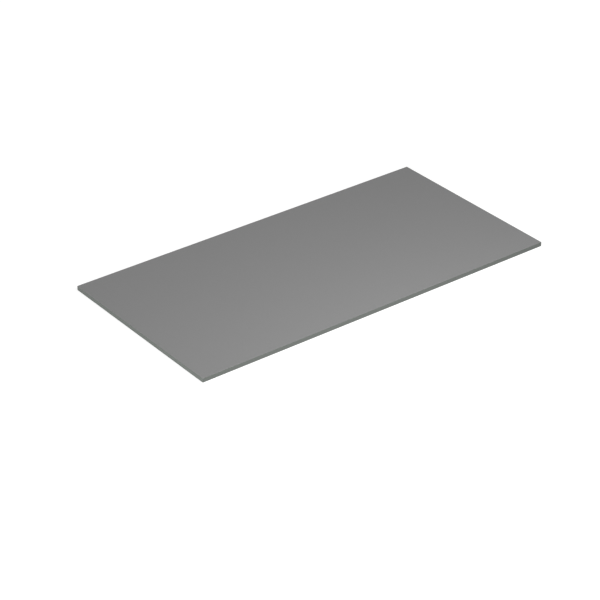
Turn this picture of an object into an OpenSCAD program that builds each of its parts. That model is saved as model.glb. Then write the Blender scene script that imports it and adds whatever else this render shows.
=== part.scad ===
// Kitchen worktop: one thin compact slab, cut square, with every edge eased to a small radius.
// It lies flat. X runs along its length, Y from the front edge to the back edge, Z up.
// The origin is the middle of the underside. Millimetres.

/* [Slab] */
// Length from end to end
length = 1200; // [600:10:3000]
// Depth from the front edge to the back edge
depth = 605; // [300:5:950]
// Thickness
thickness = 13; // [8:0.5:30]

/* [Edges] */
// Radius that eases the edge of the top face
top_edge_r = 0.5; // [0.25:0.25:1]
// Radius that eases the edge of the underside
bottom_edge_r = 0.5; // [0.25:0.25:1]
// Radius of the four upright corners, seen from above
corner_r = 1; // [1:0.5:25]

/* [Hidden] */
$fn = 96;
// Grey of the top face
face_colour = [0.53, 0.53, 0.53];

// What a cutter leaves of a square corner is a quarter circle of radius r.
module corner_cutter(r) {
    difference() {
        square(r);
        circle(r);
    }
}

// Upright section through the slab's edge: flat at the inside, eased above and below at the outside.
module edge_section(reach) {
    difference() {
        square([reach, thickness]);
        translate([reach - top_edge_r, thickness - top_edge_r])
            corner_cutter(top_edge_r);
        translate([reach - bottom_edge_r, bottom_edge_r])
            mirror([0, 1])
                corner_cutter(bottom_edge_r);
    }
}

// A straight run of slab along X, with the eased section at both of its long sides.
module straight_run(run, width) {
    rotate([90, 0, 90])
        linear_extrude(height = run, center = true)
            for (side = [0, 1])
                mirror([side, 0])
                    edge_section(width / 2);
}

// An upright corner: the same section turned about the corner's own axis.
module turned_corner() {
    rotate_extrude()
        edge_section(corner_r);
}

module worktop() {
    color(face_colour)
        union() {
            straight_run(length - 2 * corner_r, depth);
            rotate([0, 0, 90])
                straight_run(depth - 2 * corner_r, length);
            for (x = [-1, 1], y = [-1, 1])
                translate([x * (length / 2 - corner_r), y * (depth / 2 - corner_r), 0])
                    turned_corner();
        }
}

worktop();
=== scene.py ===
import math

import bmesh
import bpy
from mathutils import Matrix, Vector


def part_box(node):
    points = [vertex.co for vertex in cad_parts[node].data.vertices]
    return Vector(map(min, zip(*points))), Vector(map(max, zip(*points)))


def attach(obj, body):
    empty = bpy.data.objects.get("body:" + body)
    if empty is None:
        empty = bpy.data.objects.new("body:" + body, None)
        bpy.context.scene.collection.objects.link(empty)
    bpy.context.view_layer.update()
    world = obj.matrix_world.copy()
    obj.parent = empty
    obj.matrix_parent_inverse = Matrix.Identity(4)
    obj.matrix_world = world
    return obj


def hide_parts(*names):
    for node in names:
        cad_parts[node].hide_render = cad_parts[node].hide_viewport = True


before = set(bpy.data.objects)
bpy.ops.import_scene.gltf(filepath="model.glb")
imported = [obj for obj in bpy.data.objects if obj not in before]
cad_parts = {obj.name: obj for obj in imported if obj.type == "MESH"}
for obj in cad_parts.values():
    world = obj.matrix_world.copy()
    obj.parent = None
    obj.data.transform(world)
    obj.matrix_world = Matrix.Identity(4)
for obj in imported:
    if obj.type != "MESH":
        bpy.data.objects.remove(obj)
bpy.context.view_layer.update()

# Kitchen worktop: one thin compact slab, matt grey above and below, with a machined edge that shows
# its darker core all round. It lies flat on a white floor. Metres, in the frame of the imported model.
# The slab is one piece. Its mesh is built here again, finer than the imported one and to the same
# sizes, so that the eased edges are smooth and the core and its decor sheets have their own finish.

# Slab
NODE = "worktop"
PIECE = "worktop_slab"
TOP_EDGE_R = 0.0005
BOTTOM_EDGE_R = 0.0005
CORNER_R = 0.001
DECOR_SHEET = 0.0001
ARC_STEPS = 8
CORNER_STEPS = 8
WEAR_LAYER = "edge_wear"
FLAT_FACE_WEIGHT = 100

# The order in which the slab's mesh holds its two materials
DECOR_INDEX = 0
CORE_INDEX = 1

# The four corners seen from above, anticlockwise, as signs of X and Y
CORNER_SIDES = ((1, 1), (-1, 1), (-1, -1), (1, -1))

# Finish of the decor sheets, top and underside
DECOR_COLOUR = (0.200, 0.200, 0.200)
DECOR_CLOUD_SIZE = 0.16
DECOR_CLOUD_DEPTH = 0.010
DECOR_GRAIN_SIZE = 0.0007
DECOR_GRAIN_DETAIL = 3.0
DECOR_GRAIN_DEPTH = 0.18
DECOR_TEXTURE_SIZE = 0.00045
DECOR_TEXTURE_HEIGHT = 0.00005
DECOR_ROUGHNESS = (0.42, 0.56)

# Finish of the core, seen on the machined edge
CORE_COLOUR = (0.0965, 0.1065, 0.0975)
CORE_PLY = 0.0003
CORE_STREAK = 0.05
CORE_PLY_DEPTH = 0.28
CORE_PLY_HEIGHT = 0.00002
CORE_MARK = 0.0009
CORE_MARK_RUN = 0.03
CORE_MARK_HEIGHT = 0.00003
CORE_ROUGHNESS = (0.46, 0.60)
WEAR_PATCH = 0.009
WEAR_LIGHTENS = 0.16
WEAR_SMOOTHS = 0.20

# Noise: its octaves, and how much each finer one counts, crisp for grain and plies, soft for the rest
NOISE_DETAIL = 2.0
SOFT_NOISE = 0.5
CRISP_NOISE = 0.6

# Camera: aimed at a point of the floor, in degrees round the slab and above the floor
CAMERA_AIM = (-0.1407, -0.1205, 0.0)
CAMERA_AZIMUTH = -37.58
CAMERA_ELEVATION = 30.53
CAMERA_DISTANCE = 6.049
CAMERA_LENS = 130.95
CAMERA_SENSOR = 36.0
CAMERA_CLIP_END = 100.0

# Light: name, place, width, height and share of a plain level that it gives at the slab's middle
LAMPS = (
    ("lamp_front", (0.02, -1.14, 1.20), 0.80, 0.50, 0.50),
    ("lamp_left", (-3.60, -2.00, 0.70), 1.20, 1.20, 0.14),
)
LAMP_TARGET = (0.0, 0.0, 0.0)
AMBIENT = 0.27
WHITE = (1, 1, 1, 1)

# Floor: its grey for the light that it sends back, and its grey as it is seen
FLOOR_REACH = 40.0
FLOOR_DROP = 0.0002
FLOOR_ROUGHNESS = 0.9
FLOOR_GREY = 0.70
FLOOR_SHOWN_GREY = 0.35

# What lifts the floor that is seen to white: less near the slab, so that its shadow shows, and more
# far out, with the two distances from the slab's middle between which it rises
FLOOR_LIFT = (0.80, 0.93)
FLOOR_LIFT_REACH = (0.6, 2.4)


# Nodes

def connect(tree, value, socket):
    """Links an output to a socket, or sets the socket to a plain value."""
    if isinstance(value, bpy.types.NodeSocket):
        tree.links.new(value, socket)
    else:
        socket.default_value = value


def add_node(tree, kind, **inputs):
    """Adds a node and sets or links its inputs, given by name with underscores for spaces."""
    node = tree.nodes.new(kind)
    for name, value in inputs.items():
        connect(tree, value, node.inputs[name.replace("_", " ")])
    return node


def math_node(tree, operation, first, second):
    """One sum, product or other operation on two values."""
    node = tree.nodes.new("ShaderNodeMath")
    node.operation = operation
    connect(tree, first, node.inputs[0])
    connect(tree, second, node.inputs[1])
    return node.outputs[0]


def spread(tree, value, low, high, start=0.0, end=1.0):
    """Spreads a value that runs from start to end over low to high, and holds it there beyond."""
    node = add_node(
        tree, "ShaderNodeMapRange",
        Value=value, From_Min=start, From_Max=end, To_Min=low, To_Max=high,
    )
    return node.outputs["Result"]


def place_on_piece(tree):
    """Where a point lies on its own piece, in metres."""
    return tree.nodes.new("ShaderNodeTexCoord").outputs["Object"]


def noise(tree, size, detail=NOISE_DETAIL, roughness=SOFT_NOISE):
    """Noise from 0 to 1 whose features are size across: one length, or one for each axis."""
    sizes = size if isinstance(size, tuple) else (size, size, size)
    scaled = tree.nodes.new("ShaderNodeMapping")
    scaled.inputs["Scale"].default_value = [1.0 / s for s in sizes]
    tree.links.new(place_on_piece(tree), scaled.inputs["Vector"])
    node = add_node(
        tree, "ShaderNodeTexNoise",
        Vector=scaled.outputs["Vector"], Scale=1.0, Detail=detail, Roughness=roughness,
    )
    return node.outputs["Fac"]


def tinted(tree, colour, factor):
    """A colour made lighter or darker by a factor about 1."""
    node = tree.nodes.new("ShaderNodeVectorMath")
    node.operation = "SCALE"
    node.inputs[0].default_value = colour
    connect(tree, factor, node.inputs["Scale"])
    return node.outputs["Vector"]


def seen_directly(tree):
    """1 for rays from the camera and for what gloss and glass show, 0 for rays that carry light."""
    rays = tree.nodes.new("ShaderNodeLightPath").outputs
    shown = math_node(tree, "MAXIMUM", rays["Is Camera Ray"], rays["Is Glossy Ray"])
    return math_node(tree, "MAXIMUM", shown, rays["Is Transmission Ray"])


def new_material(name):
    """A new material, its node tree and its shader."""
    material = bpy.data.materials.new(name)
    material.use_nodes = True
    tree = material.node_tree
    return material, tree, tree.nodes["Principled BSDF"]


# Materials

def make_decor():
    """Matt grey sheet: faint clouds, a fine printed grain and the pressed texture of the plate."""
    material, tree, shader = new_material("decor_grey")
    clouds = spread(tree, noise(tree, DECOR_CLOUD_SIZE), 1 - DECOR_CLOUD_DEPTH, 1 + DECOR_CLOUD_DEPTH)
    printed = noise(tree, DECOR_GRAIN_SIZE, DECOR_GRAIN_DETAIL, CRISP_NOISE)
    grain = spread(tree, printed, 1 - DECOR_GRAIN_DEPTH, 1 + DECOR_GRAIN_DEPTH)
    factor = math_node(tree, "MULTIPLY", clouds, grain)
    connect(tree, tinted(tree, DECOR_COLOUR, factor), shader.inputs["Base Color"])
    pressed = noise(tree, DECOR_TEXTURE_SIZE)
    connect(tree, spread(tree, pressed, *DECOR_ROUGHNESS), shader.inputs["Roughness"])
    bump = add_node(tree, "ShaderNodeBump", Height=pressed, Distance=DECOR_TEXTURE_HEIGHT)
    connect(tree, bump.outputs["Normal"], shader.inputs["Normal"])
    return material


def make_core():
    """Machined core: pressed plies that run round the edge and cutter marks up it, rubbed where eased."""
    material, tree, shader = new_material("core_edge")
    plies = noise(tree, (CORE_STREAK, CORE_STREAK, CORE_PLY), roughness=CRISP_NOISE)
    marks = noise(tree, (CORE_MARK, CORE_MARK, CORE_MARK_RUN))
    eased = tree.nodes.new("ShaderNodeAttribute")
    eased.attribute_name = WEAR_LAYER
    wear = math_node(tree, "MULTIPLY", eased.outputs["Fac"], noise(tree, WEAR_PATCH))
    layered = spread(tree, plies, 1 - CORE_PLY_DEPTH, 1 + CORE_PLY_DEPTH)
    factor = math_node(tree, "MULTIPLY", layered, spread(tree, wear, 1.0, 1 + WEAR_LIGHTENS))
    connect(tree, tinted(tree, CORE_COLOUR, factor), shader.inputs["Base Color"])
    sawn = spread(tree, plies, *CORE_ROUGHNESS)
    roughness = math_node(tree, "SUBTRACT", sawn, spread(tree, wear, 0.0, WEAR_SMOOTHS))
    connect(tree, roughness, shader.inputs["Roughness"])
    ply_bump = add_node(tree, "ShaderNodeBump", Height=plies, Distance=CORE_PLY_HEIGHT)
    mark_bump = add_node(
        tree, "ShaderNodeBump",
        Height=marks, Distance=CORE_MARK_HEIGHT, Normal=ply_bump.outputs["Normal"],
    )
    connect(tree, mark_bump.outputs["Normal"], shader.inputs["Normal"])
    return material


def make_floor_white():
    """Pale floor for the light that it sends back. Seen directly it is lifted to white, more so far out."""
    material, tree, shader = new_material("floor_white")
    seen = seen_directly(tree)
    connect(tree, spread(tree, seen, FLOOR_GREY, FLOOR_SHOWN_GREY), shader.inputs["Base Color"])
    shader.inputs["Roughness"].default_value = FLOOR_ROUGHNESS
    out = tree.nodes.new("ShaderNodeVectorMath")
    out.operation = "LENGTH"
    tree.links.new(place_on_piece(tree), out.inputs[0])
    lift = spread(tree, out.outputs["Value"], *FLOOR_LIFT, *FLOOR_LIFT_REACH)
    shader.inputs["Emission Color"].default_value = WHITE
    connect(tree, math_node(tree, "MULTIPLY", seen, lift), shader.inputs["Emission Strength"])
    return material


# The slab's mesh

def edge_rings(thickness):
    """Rings up the slab's edge, each as inset, height and wear, from the underside to the top."""
    rings = [sheet_line(height, thickness) for height in (DECOR_SHEET, thickness - DECOR_SHEET)]
    for step in range(ARC_STEPS + 1):
        turn = math.pi / 2 * step / ARC_STEPS
        inset = 1 - math.sin(turn)
        from_face = 1 - math.cos(turn)
        rubbed = math.sin(2 * turn)
        rings.append((BOTTOM_EDGE_R * inset, BOTTOM_EDGE_R * from_face, rubbed))
        rings.append((TOP_EDGE_R * inset, thickness - TOP_EDGE_R * from_face, rubbed))
    return sorted(rings, key=lambda ring: ring[1])


def sheet_line(height, thickness):
    """The ring where a decor sheet meets the core, on the eased edge or on the upright between them."""
    below = height < thickness / 2
    radius = BOTTOM_EDGE_R if below else TOP_EDGE_R
    depth = height if below else thickness - height
    if depth >= radius:
        return 0.0, height, 0.0
    turn = math.asin(1 - depth / radius)
    return radius * (1 - math.cos(turn)), height, math.sin(2 * turn)


def ring_outline(centres, inset):
    """Corner arcs of one ring seen from above, anticlockwise, as points in the plane."""
    radius = CORNER_R - inset
    points = []
    for quarter, (centre_x, centre_y) in enumerate(centres):
        for step in range(CORNER_STEPS + 1):
            turn = math.pi / 2 * (quarter + step / CORNER_STEPS)
            points.append((centre_x + radius * math.cos(turn), centre_y + radius * math.sin(turn)))
    return points


def join_rings(mesh, lower, upper, material_index):
    """Joins two rings by a band of four-sided faces."""
    for i, corner in enumerate(lower):
        j = (i + 1) % len(lower)
        face = mesh.faces.new((corner, lower[j], upper[j], upper[i]))
        face.material_index = material_index


def close_face(mesh, ring, centres, upward):
    """Closes a flat face inside a ring: a middle panel, four border strips and a fan at each corner."""
    count = CORNER_STEPS + 1
    faces = [list(centres)]
    for quarter, centre in enumerate(centres):
        arc = ring[quarter * count:(quarter + 1) * count]
        for first, second in zip(arc, arc[1:]):
            faces.append([centre, first, second])
        after = (quarter + 1) % len(centres)
        faces.append([centre, arc[-1], ring[after * count], centres[after]])
    for corners in faces:
        face = mesh.faces.new(corners if upward else corners[::-1])
        face.material_index = DECOR_INDEX


def slab_mesh(low, high):
    """The slab between two corners of its box: bands between rings up its edge, and two flat faces."""
    thickness = high.z - low.z
    reach_x = (high.x - low.x) / 2 - CORNER_R
    reach_y = (high.y - low.y) / 2 - CORNER_R
    centres = [(side_x * reach_x, side_y * reach_y) for side_x, side_y in CORNER_SIDES]
    mesh = bmesh.new()
    wear = mesh.verts.layers.float.new(WEAR_LAYER)
    rings = []
    heights = []
    for inset, height, rubbed in edge_rings(thickness):
        ring = [mesh.verts.new((x, y, low.z + height)) for x, y in ring_outline(centres, inset)]
        for corner in ring:
            corner[wear] = rubbed
        rings.append(ring)
        heights.append(height)
    for lower, upper, bottom, top in zip(rings, rings[1:], heights, heights[1:]):
        in_core = DECOR_SHEET < (bottom + top) / 2 < thickness - DECOR_SHEET
        join_rings(mesh, lower, upper, CORE_INDEX if in_core else DECOR_INDEX)
    for ring, z, upward in ((rings[0], low.z, False), (rings[-1], high.z, True)):
        close_face(mesh, ring, [mesh.verts.new((x, y, z)) for x, y in centres], upward)
    for face in mesh.faces:
        face.smooth = True
    return mesh


def add_object(name, mesh):
    """Makes an object of a finished mesh and puts it in the scene."""
    data = bpy.data.meshes.new(name)
    mesh.to_mesh(data)
    mesh.free()
    thing = bpy.data.objects.new(name, data)
    bpy.context.scene.collection.objects.link(thing)
    return thing


def build_slab():
    """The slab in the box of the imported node, its flat faces shaded flat right up to the eased edge."""
    slab = add_object(PIECE, slab_mesh(*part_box(NODE)))
    slab.data.materials.append(make_decor())
    slab.data.materials.append(make_core())
    flat_first = slab.modifiers.new("flat_faces_lead", "WEIGHTED_NORMAL")
    flat_first.weight = FLAT_FACE_WEIGHT
    return slab


# The studio

def build_floor():
    """A wide flat floor just below the slab."""
    mesh = bmesh.new()
    mesh.faces.new([mesh.verts.new((x * FLOOR_REACH, y * FLOOR_REACH, 0)) for x, y in CORNER_SIDES])
    floor = add_object("floor", mesh)
    floor.location.z = -FLOOR_DROP
    floor.data.materials.append(make_floor_white())


def aim(thing, target):
    """Turns a lamp or camera, which looks along its own -Z, towards a point."""
    thing.rotation_euler = (Vector(target) - thing.location).to_track_quat("-Z", "Y").to_euler()


def lamp_power(place, share):
    """Watts that give a white surface that lies at the origin this share of plain white."""
    distance = Vector(place).length
    return share * math.pi ** 2 * distance ** 3 / place[2]


def build_lamps():
    """The soft lamps, each aimed at the slab's middle."""
    for name, place, width, height, share in LAMPS:
        data = bpy.data.lights.new(name, "AREA")
        data.shape = "RECTANGLE"
        data.size = width
        data.size_y = height
        data.energy = lamp_power(place, share)
        lamp = bpy.data.objects.new(name, data)
        lamp.location = place
        aim(lamp, LAMP_TARGET)
        bpy.context.scene.collection.objects.link(lamp)


def build_world():
    """A dim even sky for light, which shows as plain white."""
    world = bpy.data.worlds.new("studio")
    world.use_nodes = True
    tree = world.node_tree
    background = tree.nodes["Background"]
    background.inputs["Color"].default_value = WHITE
    connect(tree, spread(tree, seen_directly(tree), AMBIENT, 1.0), background.inputs["Strength"])
    bpy.context.scene.world = world


def build_camera():
    """The camera, at its distance from the point that it is aimed at."""
    azimuth = math.radians(CAMERA_AZIMUTH)
    elevation = math.radians(CAMERA_ELEVATION)
    away = Vector((
        math.sin(azimuth) * math.cos(elevation),
        -math.cos(azimuth) * math.cos(elevation),
        math.sin(elevation),
    ))
    data = bpy.data.cameras.new("camera")
    data.lens = CAMERA_LENS
    data.sensor_width = CAMERA_SENSOR
    data.clip_end = CAMERA_CLIP_END
    camera = bpy.data.objects.new("camera", data)
    camera.location = Vector(CAMERA_AIM) + away * CAMERA_DISTANCE
    aim(camera, CAMERA_AIM)
    bpy.context.scene.collection.objects.link(camera)
    bpy.context.scene.camera = camera


build_camera()
build_world()
build_lamps()
build_floor()
bpy.context.scene.view_settings.view_transform = "Standard"

slab = build_slab()
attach(slab, "root")
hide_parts(NODE)
